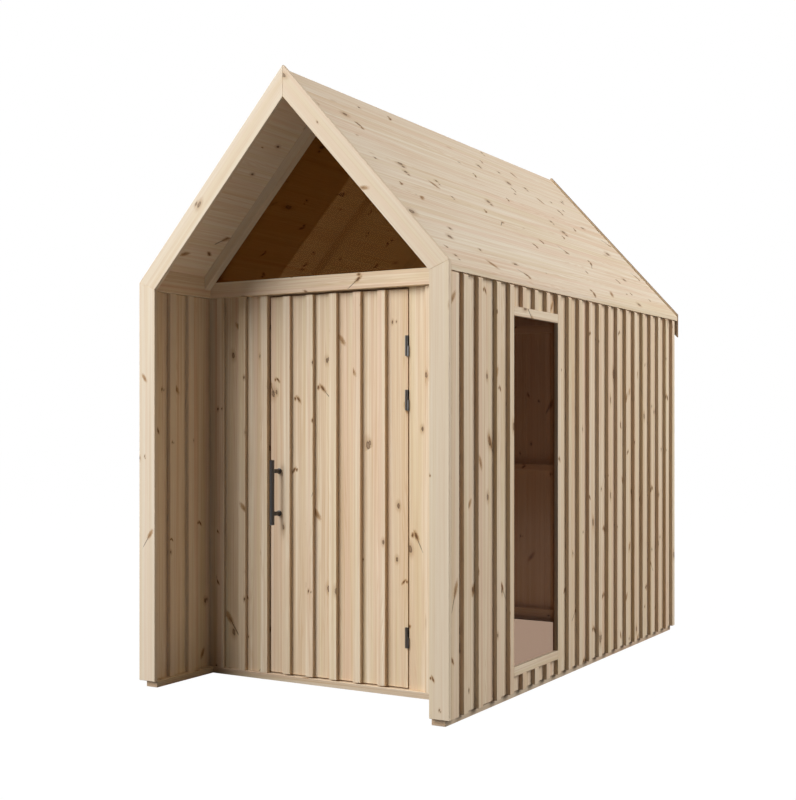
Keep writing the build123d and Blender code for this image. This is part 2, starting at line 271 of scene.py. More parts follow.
def write_grain(piece, rim, ends, along, tones):
    """Grain map: u is the length along the board and v the way round its section, both shifted by luck.

    On the sawn ends the map is the section itself, measured from a pith a few centimetres from the middle. A
    second number marks the narrow sides, on which the finish paints the shade of the grooves between battens.
    """
    count, turns = rim.shape[:2]
    steps = np.linalg.norm(np.roll(rim, -1, axis=1) - rim, axis=2)
    round_way = np.concatenate([np.zeros((count, 1)), np.cumsum(steps, axis=1)], axis=1)
    round_way = round_way + luck.uniform(0, grain_spread_m, (count, 1))
    u = along + luck.uniform(0, grain_spread_m, (count, 1, 1))
    u_next = np.roll(u, -1, axis=2)
    v = np.broadcast_to(round_way[:, None, :-1], (count, 3, turns))
    v_next = np.broadcast_to(round_way[:, None, 1:], (count, 3, turns))
    corners = [(u[:, :-1], v), (u_next[:, :-1], v_next), (u_next[:, 1:], v_next), (u[:, 1:], v)]
    side_uv = np.stack([np.stack(pair, axis=-1) for pair in corners], axis=-2).reshape(-1, 2)
    cap_uv = (np.concatenate([ends[:, ::-1], ends]) + end_pith).reshape(-1, 2)
    layer = piece.data.uv_layers.new(name="grain")
    layer.uv.foreach_set("vector", np.concatenate([side_uv, cap_uv]).astype(np.float32).reshape(-1))
    sawn = np.concatenate([np.zeros(len(side_uv)), np.ones(len(cap_uv))])
    write_number(piece, "sawn_end", "CORNER", sawn)
    shares = steps / steps.max(axis=1, keepdims=True)
    narrow = ((shares > arris_limit) & (shares < narrow_limit)).astype(float)
    narrow = np.broadcast_to(narrow[:, None, :, None], (count, 3, turns, 4)).reshape(-1)
    write_number(piece, "narrow_side", "CORNER", np.concatenate([narrow, np.zeros(len(cap_uv))]))
    write_number(piece, "tone", "POINT", np.repeat(luck.uniform(*tones, count), 4 * turns))


print("grain maps are shifted by up to", grain_spread_m, "m")

# %% [markdown]
# ## Nodes for the finishes
# A Blender material is a tree of small nodes, and a sum with three terms takes two of them. To keep the
# trees readable, a Link stands for what comes out of a node, and Python's own signs are given a meaning
# for it: a plus or a times between links adds the Math node by itself. Colours are written as they look
# on a screen, from 0 to 255, and turned into the linear values that Blender works with.

# %% Links and nodes
def screen_colour(red, green, blue):
    """Linear colour of a screen colour: ((c + 0.055) / 1.055) to the power 2.4, for c from 0 to 1."""
    level = (np.array([red, green, blue]) / 255 + 0.055) / 1.055
    return (*[float(value) for value in level ** 2.4], 1.0)


def new_material(name):
    """A new material, its tree and its Principled shader."""
    material = bpy.data.materials.new(name)
    material.use_nodes = True
    return material, material.node_tree, material.node_tree.nodes["Principled BSDF"]


class Link:
    """What comes out of a node. Each sum written with links adds one Math node for each sign."""

    def __init__(self, node, output=0):
        self.tree, self.socket = node.id_data, node.outputs[output]

    def math(self, operation, *others):
        """One step of arithmetic on this link and on other links or numbers."""
        return Link(add_node(self.tree, "Math", dict(enumerate((self, *others))), operation=operation))

    def __add__(self, other):
        return self.math("ADD", other)

    def __sub__(self, other):
        return self.math("SUBTRACT", other)

    def __mul__(self, other):
        return self.math("MULTIPLY", other)

    def __truediv__(self, other):
        return self.math("DIVIDE", other)

    def __pow__(self, power):
        return self.math("POWER", power)


def fill(node, sockets):
    """Gives each named socket of a node a number, a colour or a link."""
    for socket, value in sockets.items():
        if isinstance(value, Link):
            node.id_data.links.new(value.socket, node.inputs[socket])
        else:
            node.inputs[socket].default_value = value
    return node


def add_node(tree, kind, sockets, **settings):
    """Adds a node, sets its choices and fills its sockets."""
    made = tree.nodes.new("ShaderNode" + kind)
    for key, value in settings.items():
        setattr(made, key, value)
    return fill(made, sockets)


print("pale pine in linear light:", [round(value, 2) for value in screen_colour(232, 212, 184)[:3]])


# %% Fades, tints and streaks
def distance(first, second):
    """Distance over two ways at right angles: the root of the sum of both squares."""
    return (first ** 2.0 + second ** 2.0).math("SQRT")


def fade(value, start, end):
    """0 at start, 1 at end, and a smooth curve between."""
    sockets = {"Value": value, "From Min": start, "From Max": end}
    return Link(add_node(value.tree, "MapRange", sockets, interpolation_type="SMOOTHSTEP"), "Result")


def tint(share, below, above):
    """The colour below, covered by the colour above to a share from 0 to 1."""
    return Link(add_node(share.tree, "Mix", {0: share, 6: below, 7: above}, data_type="RGBA"), 2)


def stretch(along, across, along_rate, across_rate):
    """The grain map as a vector, with each way multiplied by its rate."""
    return Link(add_node(along.tree, "CombineXYZ", {0: along * along_rate, 1: across * across_rate}))


def streaks(along, across, along_rate, across_rate, detail=2.0):
    """Noise that is long along the grain and narrow across it."""
    place = stretch(along, across, along_rate, across_rate)
    sockets = {"Vector": place, "Scale": 1.0, "Detail": detail}
    return Link(add_node(along.tree, "TexNoise", sockets, noise_dimensions="2D"))


print("fades, tints and streaks ready")

# %% [markdown]
# ## Knots
# Pine is known by its knots. A branch cut across shows as an eye: a dark, long spot with a darker rim and
# an amber glow, and the grain bends round it. A branch cut lengthwise shows as a slanting brown leaf,
# often with a round spot beside it, and sometimes with a crack down the grain. They could be painted one
# by one. A Voronoi texture does it for every board at once: it scatters points, and each point is a knot
# if its random colour says so. The point's place gives how far away the knot is in true metres, so knots
# keep their size on every board.

# %% Scattered knots
scatter_share = 0.9


def scattered_points(along, across, along_rate, across_rate):
    """Distances along and across to the nearest scattered point, and that point's three random numbers."""
    cells = stretch(along, across, along_rate, across_rate)
    sockets = {"Vector": cells, "Scale": 1.0, "Randomness": scatter_share}
    found = add_node(along.tree, "TexVoronoi", sockets, voronoi_dimensions="2D", feature="F1")
    place = add_node(along.tree, "SeparateXYZ", {0: Link(found, "Position")})
    chance = add_node(along.tree, "SeparateColor", {0: Link(found, "Color")})
    off_along = along - Link(place, 0) / along_rate
    off_across = across - Link(place, 1) / across_rate
    return off_along, off_across, Link(chance, 0), Link(chance, 1), Link(chance, 2)


print("points are scattered by", scatter_share, "of a cell")

# %% Eye knots
eye_share, eye_rates = 0.22, (3.4, 11.0)
eye_least_m, eye_growth_m, eye_growth_power = 0.0034, 0.007, 2.5
eye_length_share = 1.85
twin_share, twin_size_share, far_off = 0.5, 0.62, 100.0
twin_ahead_m, twin_back_m = 0.03, 0.012
twin_aside_m, twin_near_m = 0.05, 0.022
eye_ripple_rates, eye_ripple = (150.0, 190.0), 0.8
core_edge, rim_edge, glow_edge = (1.05, 0.6), (0.4, 0.0), (3.6, 0.9)
rim_middle, paling, push_share = 0.85, -0.45, 0.75


def spot(off_along, off_across, radius):
    """Distance from a spot's middle in radii; a spot is nearly twice as long along the grain as across."""
    return distance(off_along / eye_length_share, off_across) / radius


def eye_knots(along, across, knot_size):
    """Spots of about 3 to 10 mm radius, some with a smaller one beside them.

    Returns the core, the rim, the glow and the push on the grain.
    """
    off_along, off_across, chosen, size, twin = scattered_points(along, across, *eye_rates)
    present = chosen.math("LESS_THAN", eye_share)
    large = size ** eye_growth_power
    radius = large * (eye_growth_m * knot_size) + eye_least_m * knot_size
    lean = off_across * (size - 0.5) + off_along
    beside_along = lean - (size * twin_ahead_m - twin_back_m)
    beside_across = off_across - (twin * twin_aside_m - twin_near_m)
    beside = spot(beside_along, beside_across, radius * twin_size_share)
    lone = twin.math("LESS_THAN", twin_share) * far_off
    nearest = spot(lean, off_across, radius).math("MINIMUM", beside + lone)
    ring = nearest + (streaks(along, across, *eye_ripple_rates) - 0.5) * eye_ripple
    core = fade(ring, *core_edge) * present * (large * paling + 1.0)
    rim = fade((ring - rim_middle).math("ABSOLUTE"), *rim_edge) * present
    glow = fade(ring, *glow_edge) * present
    return core, rim, glow, off_across * glow * push_share


print("eyes in", eye_share, "of the cells")

# %% Leaf knots
leaf_share, leaf_rates = 0.45, (2.5, 6.6)
other_rate, soft_rate, soft_share = 7.3, 9.7, 0.4
leaf_least, leaf_growth, soft_growth = 0.75, 0.5, 0.5
slant_least, slant_spread = 0.35, 0.4
leaf_half_m, leaf_breadth_m = 0.0145, 0.0054
dot_place_m, dot_half_m, dot_breadth_m = 0.003, 0.0068, 0.0046
dot_apart_m, dot_spread_m, no_dot = 0.013, 0.008, 9.0
ragged_rates, ragged_share = (90.0, 200.0), 1.3
leaf_edge, vein_edge = (2.3, 0.8), (1.2, 0.5)
vein_rates, vein_gaps, soft_vein_share = (30.0, 330.0), (0.38, 0.6), 0.6
crack_least, crack_place_m, crack_half_m, crack_breadth_m = 0.78, -0.03, 0.034, 0.0026
crack_edge, crack_ragged_share = (1.1, 0.4), 0.5


def leaf_knots(along, across, knot_size):
    """Slanting leaves about 20 to 60 mm long, either dark with a round spot beside them or soft.

    With a along the grain and b across it, a cos + b sin runs along a leaf and b cos - a sin across it.
    Both are divided by the size of the knot, and half of the knots lean the other way. Returns the leaf,
    its veins and the crack.
    """
    off_along, off_across, chosen, size, turn = scattered_points(along, across, *leaf_rates)
    present = chosen.math("LESS_THAN", leaf_share)
    way = turn.math("LESS_THAN", 0.5) * 2.0 - 1.0
    other = (turn * other_rate).math("FRACT")
    soft = (size * soft_rate).math("FRACT").math("LESS_THAN", soft_share)
    scale = (soft * soft_growth + (size ** 2.0 * leaf_growth + leaf_least)) * knot_size
    ahead = off_along / scale
    aside = off_across * way / scale
    slant = other * slant_spread + slant_least
    cosine, sine = slant.math("COSINE"), slant.math("SINE")
    down = ahead * cosine + aside * sine
    over = aside * cosine - ahead * sine
    ragged = (streaks(along, across, *ragged_rates) - 0.5) * ragged_share
    blade = distance(down / leaf_half_m, over / leaf_breadth_m)
    apart = aside - (other * dot_spread_m + dot_apart_m)
    dot = distance((ahead - dot_place_m) / dot_half_m, apart / dot_breadth_m) + soft * no_dot
    nearest = blade.math("MINIMUM", dot) + ragged
    leaf = fade(nearest, *leaf_edge) * present
    streak = fade(streaks(down, over, *vein_rates), *vein_gaps)
    depth = soft * streak * soft_vein_share + (soft * -1.0 + 1.0)
    vein = fade(nearest, *vein_edge) * depth * present
    split = distance((ahead - crack_place_m) / crack_half_m, over / crack_breadth_m)
    cracked = size.math("GREATER_THAN", crack_least) * present
    crack = fade(split + ragged * crack_ragged_share, *crack_edge) * cracked
    return leaf, vein, crack


print("leaves in", leaf_share, "of the cells")

# %% [markdown]
# ## The pine finish
# Freshly planed pine is pale straw with fine darker lines where summer wood meets winter wood, broad soft
# streaks, and a slightly different tone on each board. Wave textures look too even for this, so the lines
# come from the sine of the way across the board, swayed by long noise and pushed aside by knots.
# Everything is measured on the board's own grain map, so the lines always run lengthwise, whichever way
# the board is fixed.

# %% Pine colours and streaks
pine_late = screen_colour(203, 162, 118)
pine_blush = screen_colour(226, 188, 160)
pine_honey = screen_colour(224, 206, 164)
# painted shade: the dark brown laid on narrow sides and sawn ends, for the shade in the battens' grooves and
# on the rear bargeboards
painted_edge_shade = screen_colour(122, 90, 60)
knot_glow = screen_colour(170, 124, 70)
knot_brown = screen_colour(96, 62, 34)
knot_rim = screen_colour(58, 35, 22)
streak_rates = {
    "sway": (0.7, 9.0, 2.0), "quiver": (0.4, 45.0, 2.0), "flame": (0.45, 9.0, 1.0),
    "broad": (0.5, 55.0, 3.0), "fibre": (8.0, 700.0, 1.0), "fine": (1.2, 150.0, 2.0),
    "blush": (0.3, 14.0, 2.0), "honey": (0.4, 24.0, 2.0),
}
ring_rate, sway_rings, quiver_rings = 95.0, 14.0, 2.5
line_power, flame_share, tone_share = 2.2, 0.85, 0.25
flame_edge, warm_edge, tinge_edge = (0.46, 0.72), (0.42, 0.84), (0.5, 0.7)
fine_edge, fibre_edge = (0.45, 0.7), (0.55, 0.85)
fibre_share, sawn_share = 0.12, 0.25
glow_share, leaf_cover, knot_cover, rim_cover = 0.42, 0.75, 0.85, 0.65
fibre_height, line_height, knot_height = 0.4, 0.5, 0.4
bump_strength, bump_depth_m = 0.35, 0.0006
line_roughness, plain_roughness, pine_gloss = 0.1, 0.58, 0.2
print("streaks:", ", ".join(f"{kind} {rates[1]:g}" for kind, rates in streak_rates.items()), "a metre across")


# %% Pine material
def planed_pine(name, pale, straw, line_share, streak_share, knot_size, painted_shade_share):
    """Pale pine: streaks, growth lines, knots and sawn ends on the grain map, each tint over the last.

    Growth lines are the sine of the way across, counted in rings and swayed by noise. On a sawn end they are
    the sine of the distance from the pith. Knots stay off the sawn ends and the narrow sides.
    """
    material, tree, shader = new_material(name)
    grain = add_node(tree, "SeparateXYZ", {0: Link(add_node(tree, "UVMap", {}, uv_map="grain"))})
    along, across = Link(grain, 0), Link(grain, 1)
    marks = ("tone", "sawn_end", "narrow_side")
    tone, sawn, narrow = [Link(add_node(tree, "Attribute", {}, attribute_name=mark), "Fac") for mark in marks]
    # painted shade: narrow sides and sawn ends take a share of dark brown for the shade in the grooves
    # between battens; on sawn ends it adds to the darker end grain
    edge = narrow.math("MAXIMUM", sawn)
    on_face = edge * -1.0 + 1.0
    core, rim, glow, push = (part * on_face for part in eye_knots(along, across, knot_size))
    leaf, vein, crack = (part * on_face for part in leaf_knots(along, across, knot_size))
    drawn = {kind: streaks(along, across, *rates) for kind, rates in streak_rates.items()}

    sway = drawn["sway"] * sway_rings + drawn["quiver"] * quiver_rings
    lengthwise = (across - push) * ring_rate + sway
    on_end = distance(along, across) * ring_rate
    phase = Link(add_node(tree, "Mix", {0: sawn, 2: lengthwise, 3: on_end}, data_type="FLOAT"))
    wave = (phase * (2 * np.pi)).math("SINE")
    flamed = fade(drawn["flame"], *flame_edge) * flame_share + (1 - flame_share)
    line = (wave * 0.5 + 0.5) ** line_power * flamed

    warm = fade(tone * tone_share + drawn["broad"], *warm_edge)
    colour = tint(warm, screen_colour(*pale), screen_colour(*straw))
    tints = [
        (fade(drawn["blush"], *tinge_edge), streak_share, pine_blush),
        (fade(drawn["honey"], *tinge_edge), streak_share, pine_honey),
        (line, line_share, pine_late),
        (fade(drawn["fine"], *fine_edge), line_share, pine_late),
        (fade(drawn["fibre"], *fibre_edge), fibre_share, pine_late),
        (glow, glow_share, knot_glow),
        (leaf, leaf_cover, knot_glow),
        (core.math("MAXIMUM", vein), knot_cover, knot_brown),
        (rim.math("MAXIMUM", crack), rim_cover, knot_rim),
        (sawn, sawn_share, pine_late),
        (edge, painted_shade_share, painted_edge_shade),
    ]
    for mask, share, above in tints:
        colour = tint(mask * share, colour, above)

    height = drawn["fibre"] * fibre_height + line * line_height - core * knot_height
    bump = add_node(tree, "Bump", {"Strength": bump_strength, "Distance": bump_depth_m, "Height": height})
    roughness = line * line_roughness + plain_roughness
    fill(shader, {"Base Color": colour, "Roughness": roughness, "Normal": Link(bump),
                  "Specular IOR Level": pine_gloss})
    return material


# pale and straw colours, shares of lines and streaks, size of knots, share of painted shade on the narrow
# sides and sawn ends
pine_looks = {
    "trim_pine": ((233, 218, 196), (227, 208, 182), 0.15, 0.18, 0.75, 0.0),
    "roof_pine": ((240, 227, 207), (232, 212, 187), 0.27, 0.32, 1.25, 0.0),
    "wall_pine": ((239, 222, 197), (225, 201, 169), 0.34, 0.4, 1.1, 0.28),
    # painted shade: this pine is darker all over and dark on nearly all its edges and ends, for the rear
    # bargeboards' shaded lip and tail
    "shade_painted_pine": ((214, 193, 166), (206, 182, 152), 0.15, 0.18, 0.75, 0.95),
}
trim_pine, roof_pine, wall_pine, shade_painted_pine = (planed_pine(name, *look) for name, look in pine_looks.items())
print("pine tree has", len(wall_pine.node_tree.nodes), "nodes")

# %% [markdown]
# ## Boards from boxes
# Most timbers are straight boards that lie along one axis, so one function dresses them all: it takes
# their boxes and the axis their grain follows, and cuts anything that would reach into the roof along the
# deck's underside.

# %% Dress straight timbers
least_board_m = 0.02
close_arris_m = 0.0012
upright_axes = [(0, 0, 1), (1, 0, 0), (0, 1, 0)]


def fit_on(piece, *nodes, body="shed", slot="timber"):
    """Fixes a finished piece to a body, in place of its CAD nodes; the slot is not used."""
    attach(piece, body)
    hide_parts(*nodes)


def boards_from_boxes(name, lows, highs, axis, arris=arris_m, head_gap=0.0, tones=(0, 1), finish=wall_pine):
    """Boards along an axis: a four-cornered section in the other two axes, clipped a gap under the deck."""
    first, second = [other for other in range(3) if other != axis]
    a0, a1, b0, b1 = lows[:, first], highs[:, first], lows[:, second], highs[:, second]
    corners = ((a0, b0), (a1, b0), (a1, b1), (a0, b1))
    sections = np.stack([np.stack(pair, axis=-1) for pair in corners], axis=1)
    if axis == 1:
        sections[..., 1] = np.minimum(sections[..., 1], deck_underside(sections[..., 0]))
    unit = np.eye(3)
    head = highs[:, axis]
    if axis == 2:
        head = lambda points: np.minimum(highs[:, 2:], deck_underside(points[..., 0]) - head_gap)
    axes = [unit[axis], unit[first], unit[second]]
    return carry_boards(name, finish, sections, axes, lows[:, axis], head, arris, tones=tones)


def split_at(lows, highs, axis, joints):
    """Cuts boxes into boards at the joints that fall inside them."""
    pieces = []
    for low, high in zip(lows, highs):
        inside = joints[(joints > low[axis] + least_board_m) & (joints < high[axis] - least_board_m)]
        edges = np.concatenate([[low[axis]], np.sort(inside), [high[axis]]])
        starts, ends = np.tile(low, (len(edges) - 1, 1)), np.tile(high, (len(edges) - 1, 1))
        starts[:, axis], ends[:, axis] = edges[:-1], edges[1:]
        pieces.append((starts, ends))
    return np.concatenate([one[0] for one in pieces]), np.concatenate([one[1] for one in pieces])


print("straight timbers follow x, y or z")

# %% [markdown]
# ## Wall boards
# Behind the battens stand wide boards, and each joint between two of them is hidden under the middle of a
# batten. From inside the room these joints show as fine lines. So each wall slab of the frame is split at
# its batten middles. The side walls stop a few millimetres under the deck, which draws the dark line
# below the eave; that gap is read off the frame, so that boards and battens both keep it.

# %% Side, rear, front and porch wall boards
upright_axis, long_axis, cross_axis = 2, 1, 0
side_joints = (side_batten_lows[:, 1] + side_batten_highs[:, 1]) / 2
rear_lows, rear_highs = solid_boxes("rear_wall_battens")
rear_joints = (rear_lows[:, 0] + rear_highs[:, 0]) / 2
porch_lows, porch_highs = solid_boxes("porch_battens")
on_front_wall = porch_highs[:, 0] - porch_lows[:, 0] > porch_highs[:, 1] - porch_lows[:, 1]
front_joints = ((porch_lows + porch_highs) / 2)[on_front_wall, 0]

inner_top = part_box("left_wall_boards")[1]
eave_gap = deck_underside(inner_top.x) - inner_top.z
gapped = ["left_wall_boards", "right_wall_boards_beside_window", "right_wall_boards_at_window",
          "left_wall_battens", "right_wall_battens", "window_stiles"]
head_gaps = dict.fromkeys(gapped, eave_gap)

pale_tones, straw_tones = (0.0, 0.45), (0.6, 1.2)
wall_joints = {
    "left_wall_boards": (long_axis, side_joints), "right_wall_boards_beside_window": (long_axis, side_joints),
    "right_wall_boards_at_window": (long_axis, side_joints), "rear_wall_boards": (cross_axis, rear_joints),
    "front_wall_boards": (cross_axis, front_joints), "wing_inner_boards": (long_axis, side_joints),
}
for node, (run_axis, joints) in wall_joints.items():
    lows, highs = split_at(*solid_boxes(node), run_axis, joints)
    tones = straw_tones if node == "front_wall_boards" else pale_tones
    boards = boards_from_boxes(node + "_pine", lows, highs, upright_axis, close_arris_m,
                               head_gaps.get(node, 0.0), tones)
    fit_on(boards, node)
    print(node, "split into", len(lows), "boards")

# %% [markdown]
# ## Battens, posts and the frame inside
# Battens, studs, sills, plates and rails are straight sticks that need no splitting. The table names the
# axis of each one's grain: a batten's runs up, a plate's runs along its wall. Two nodes hold sticks of
# two kinds, so these are parted first by the way they lie.

# %% Sticks of the shed
stick_axes = {
    "left_wall_battens": upright_axis, "right_wall_battens": upright_axis, "rear_wall_battens": upright_axis,
    "window_stiles": upright_axis, "left_wall_studs": upright_axis, "right_wall_studs": upright_axis,
    "rear_wall_studs": upright_axis, "side_sills": long_axis, "end_sills": cross_axis,
    "side_plates": long_axis, "end_plates": cross_axis, "window_rails": long_axis, "lintel": cross_axis,
}
for node, axis in stick_axes.items():
    lows, highs = solid_boxes(node)
    tones = straw_tones if node == "lintel" else pale_tones
    gap = head_gaps.get(node, 0.0)
    fit_on(boards_from_boxes(node + "_pine", lows, highs, axis, head_gap=gap, tones=tones), node)

rail_lows, rail_highs = solid_boxes("wall_mid_rails")
across_wall = rail_highs[:, 0] - rail_lows[:, 0] > rail_highs[:, 1] - rail_lows[:, 1]
any_tone = (0, 1)
porch, rails = ("porch_battens", porch_lows, porch_highs), ("wall_mid_rails", rail_lows, rail_highs)
parted_sticks = {
    "porch_front_battens_pine": (porch, on_front_wall, upright_axis, pale_tones, wall_pine),
    "porch_wing_battens_pine": (porch, ~on_front_wall, upright_axis, pale_tones, trim_pine),
    "rear_mid_rails_pine": (rails, across_wall, cross_axis, any_tone, wall_pine),
    "side_mid_rails_pine": (rails, ~across_wall, long_axis, any_tone, wall_pine),
}
for name, ((node, lows, highs), chosen, axis, tones, finish) in parted_sticks.items():
    fit_on(boards_from_boxes(name, lows[chosen], highs[chosen], axis, tones=tones, finish=finish), node)
print("stick nodes dressed:", len(stick_axes) + 2)

# %% [markdown]
# ## Sloping timbers
# Rafters and bargeboards follow the slope, so their grain does too. The board function takes any axes:
# here the grain runs down the slope from the ridge, the second axis is the length of the shed and the
# third stands square to the roof. The ends are cut upright at the ridge and the eave, or on the slant of
# a mitre where the portal turns the corner.

# %% Boards down the slope
def slope_axes(side):
    """Down the slope, along the shed and square to the slope, for the right side (1) or the left (-1)."""
    down = (side * np.cos(pitch), 0.0, -np.sin(pitch))
    square = (side * np.sin(pitch), 0.0, np.cos(pitch))
    return np.array([down, (0.0, 1.0, 0.0), square])


def cut_by(point, normal, grain):
    """Length along the grain from a start to a plane with normal n: (point - start) . n / grain . n."""
    normal = np.asarray(normal, float)
    return lambda starts: ((np.asarray(point, float) - starts) @ normal) / (np.asarray(grain) @ normal)


ridge_point = (0.0, 0.0, ridge_height)
plumb = (1.0, 0.0, 0.0)
# painted shade: right-hand trims take a darker, warmer tone than left-hand ones, for the front light falling
# off towards the right
trim_tones_shaded_right = {1: (1.2, 1.4), -1: (0.4, 0.6)}


def slope_board(name, side, y0, y1, top, bottom, eave_point, eave_normal, ridge_x=0.0, finish=trim_pine):
    """A board down the slope between two depths under the portal's edge, from the ridge to an eave cut."""
    axes = slope_axes(side)
    section = [[(y0, -top), (y1, -top), (y1, -bottom), (y0, -bottom)]]
    foot = cut_by((ridge_x, 0, 0), plumb, axes[0])
    head = cut_by(eave_point, eave_normal, axes[0])
    return carry_boards(name, finish, section, axes, foot, head, arris_m, ridge_point, trim_tones_shaded_right[side])


print("boards down the slope start", round(ridge_height, 3), "m up")

# %% Rafters, bargeboards and portal
trim_width = half_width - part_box("portal_post_right")[0].x
mitre_foot = ridge_height - slope * (half_width - trim_width) - trim_width / np.cos(pitch)
mitre_rise = eave_height - mitre_foot
for side, hand in ((1, "right"), (-1, "left")):
    for kind in ("rear_bargeboard", "front_gable_rafter", "rear_gable_rafter"):
        low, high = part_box(f"{kind}_{hand}")
        reach = max(abs(low.x), abs(high.x))
        top = (ridge_height - high.z) * np.cos(pitch)
        bottom = (ridge_height - slope * reach - low.z) * np.cos(pitch)
        # the rear bargeboards take the pine with painted shade
        finish = shade_painted_pine if kind == "rear_bargeboard" else trim_pine
        piece = slope_board(f"{kind}_{hand}_pine", side, low.y, high.y, top, bottom, (side * reach, 0, 0),
                            plumb, finish=finish)
        fit_on(piece, f"{kind}_{hand}")
    low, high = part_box(f"portal_rafter_{hand}")
    corner = (side * half_width, 0, eave_height)
    mitre = (side * mitre_rise, 0, -trim_width)
    rafter = slope_board(f"portal_rafter_{hand}_pine", side, low.y, high.y, 0, trim_width, corner, mitre)
    fit_on(rafter, f"portal_rafter_{hand}")
    low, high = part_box(f"portal_post_{hand}")
    section = [[(low.x, low.y), (high.x, low.y), (high.x, high.y), (low.x, high.y)]]
    head = cut_by(corner, mitre, upright_axes[0])
    post = carry_boards(f"portal_post_{hand}_pine", trim_pine, section, upright_axes, [low.z], head,
                        tones=trim_tones_shaded_right[side])
    fit_on(post, f"portal_post_{hand}")
rafter_lows, rafter_highs = solid_boxes("middle_rafters")
for number, (low, high) in enumerate(zip(rafter_lows, rafter_highs)):
    side = 1 if high[0] > 0 else -1
    near, reach = np.sort(np.abs([low[0], high[0]]))
    top = (ridge_height - slope * near - high[2]) * np.cos(pitch)
    bottom = (ridge_height - slope * reach - low[2]) * np.cos(pitch)
    piece = slope_board(f"middle_rafter_{number}_pine", side, low[1], high[1], top, bottom,
                        (side * reach, 0, 0), plumb, ridge_x=side * near)
    fit_on(piece, "middle_rafters")
print("portal trim is", round(trim_width * 1000), "mm wide, with", len(rafter_lows), "rafters under the deck")

# %% [markdown]
# ## The roof deck
# The deck is boarded along the shed with tight joints, and the same boards are seen from below over the
# porch. Their edges at the ridge and the eave are cut upright. Each board's section is laid out in two
# measures, the run down the slope and the depth under the portal's edge, so the upright cuts are only a
# shift of the run with depth.

# %% Deck boards
deck_boards = 10
deck_arris_m = 0.0005
deck_tones = (0.35, 0.65)
deck_low, deck_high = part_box("roof_deck_right")


def deck_sections():
    """Sections between even runs down the slope; at ridge and eave the run keeps x = run cos - depth sin."""
    depths = np.array([deck_top_depth, deck_under_depth])
    first = depths * np.tan(pitch)
    last = (half_width + depths * np.sin(pitch)) / np.cos(pitch)
    share = np.linspace(0, 1, deck_boards + 1)[:, None]
    runs = np.repeat(first.mean() + share * (last.mean() - first.mean()), 2, axis=1)
    runs[0], runs[-1] = first, last
    inner, outer = runs[:-1], runs[1:]
    over, under = depths
    corners = [(inner[:, 0], over), (outer[:, 0], over), (outer[:, 1], under), (inner[:, 1], under)]
    return np.stack([np.stack([run, np.full_like(run, -depth)], axis=-1) for run, depth in corners], axis=1)


for side, hand in ((1, "right"), (-1, "left")):
    down, length, square = slope_axes(side)
    deck = carry_boards(f"roof_deck_{hand}_pine", roof_pine, deck_sections(), [length, down, square],
                        [deck_low.y], [deck_high.y], deck_arris_m, ridge_point, deck_tones)
    fit_on(deck, f"roof_deck_{hand}")
print("deck boards on each slope:", deck_boards)

# %% [markdown]
# ## Door frame
# The jambs are rebated: the door closes into a step. That is a section with six corners in place of four,
# and the same function carries it. The head is a plain beam with a stop fixed under it.

# %% Jambs and head
jamb_lows, jamb_highs = solid_boxes("door_jambs")
board_lows, board_highs = solid_boxes("front_wall_boards")
doorway_edges = (board_highs[0, 0], board_lows[1, 0])
stop_gap = 0.006
jamb_sections = []
for edge, low, high, outer in ((doorway_edges[0], jamb_lows[0], jamb_highs[0], jamb_lows[0, 0]),
                               (doorway_edges[1], jamb_lows[1], jamb_highs[1], jamb_highs[1, 0])):
    inner = high[0] if outer == low[0] else low[0]
    front, step, back = low[1], low[1] + stop_gap, high[1]
    rebated = [(outer, front), (edge, front), (edge, step), (inner, step), (inner, back), (outer, back)]
    jamb_sections.append(rebated)
jambs = carry_boards("door_jambs_pine", wall_pine, jamb_sections, upright_axes, jamb_lows[:, 2],
                     jamb_highs[:, 2], close_arris_m)
fit_on(jambs, "door_jambs")
head_low, head_high = (np.array(corner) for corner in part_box("door_head"))
wall_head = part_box("lintel")[0].z
beam_low, beam_high = np.array([head_low[0], head_low[1], wall_head]), head_high
stop_low = np.array([jamb_highs[0, 0], head_low[1] + stop_gap, head_low[2]])
stop_high = np.array([jamb_lows[1, 0], head_high[1], wall_head])
lows, highs = np.array([beam_low, stop_low]), np.array([beam_high, stop_high])
fit_on(boards_from_boxes("door_head_pine", lows, highs, cross_axis), "door_head")
print("doorway is", round((doorway_edges[1] - doorway_edges[0]) * 1000), "mm wide")

# %% [markdown]
# ## The door
# The door is made like the wall, so that it hides in it: wide boards, battens in line with the wall's,
# and three ledges across the back that hold the boards together. All of it rides on the door body, so it
# swings with the hinge.

# %% Door boards, battens and ledges
batten_lows, batten_highs = solid_boxes("door_battens")
door_joints = (batten_lows[:, 0] + batten_highs[:, 0]) / 2
lows, highs = split_at(*solid_boxes("door_boards"), cross_axis, door_joints)
door_boards = boards_from_boxes("door_boards_pine", lows, highs, upright_axis, close_arris_m,
                                tones=straw_tones)
door_battens = boards_from_boxes("door_battens_pine", batten_lows, batten_highs, upright_axis,
                                 tones=pale_tones)
door_ledges = boards_from_boxes("door_ledges_pine", *solid_boxes("door_ledges"), cross_axis)
fit_on(door_boards, "door_boards", body="door")
fit_on(door_battens, "door_battens", body="door")
fit_on(door_ledges, "door_ledges", body="door")
print("door boards:", len(lows), "door battens:", len(batten_lows))

# %% [markdown]
# ## Bronze glass
# Window and gable are glazed with a bronze tint: the room behind looks dark brown, and the ground inside
# shows as a dusky pale patch. Glass that only reflects would be black, and glass with no tint would show
# a pale room. A Principled shader with full transmission tints light by the root of its colour as it goes
# in and again as it comes out, so its colour is what the whole pane lets through.

# %% Glass materials
glass_bend = 1.13
mirror_tint = (1.0, 0.5, 0.12, 1.0)
cloud_scale, cloud_roughness = 3.0, 0.03


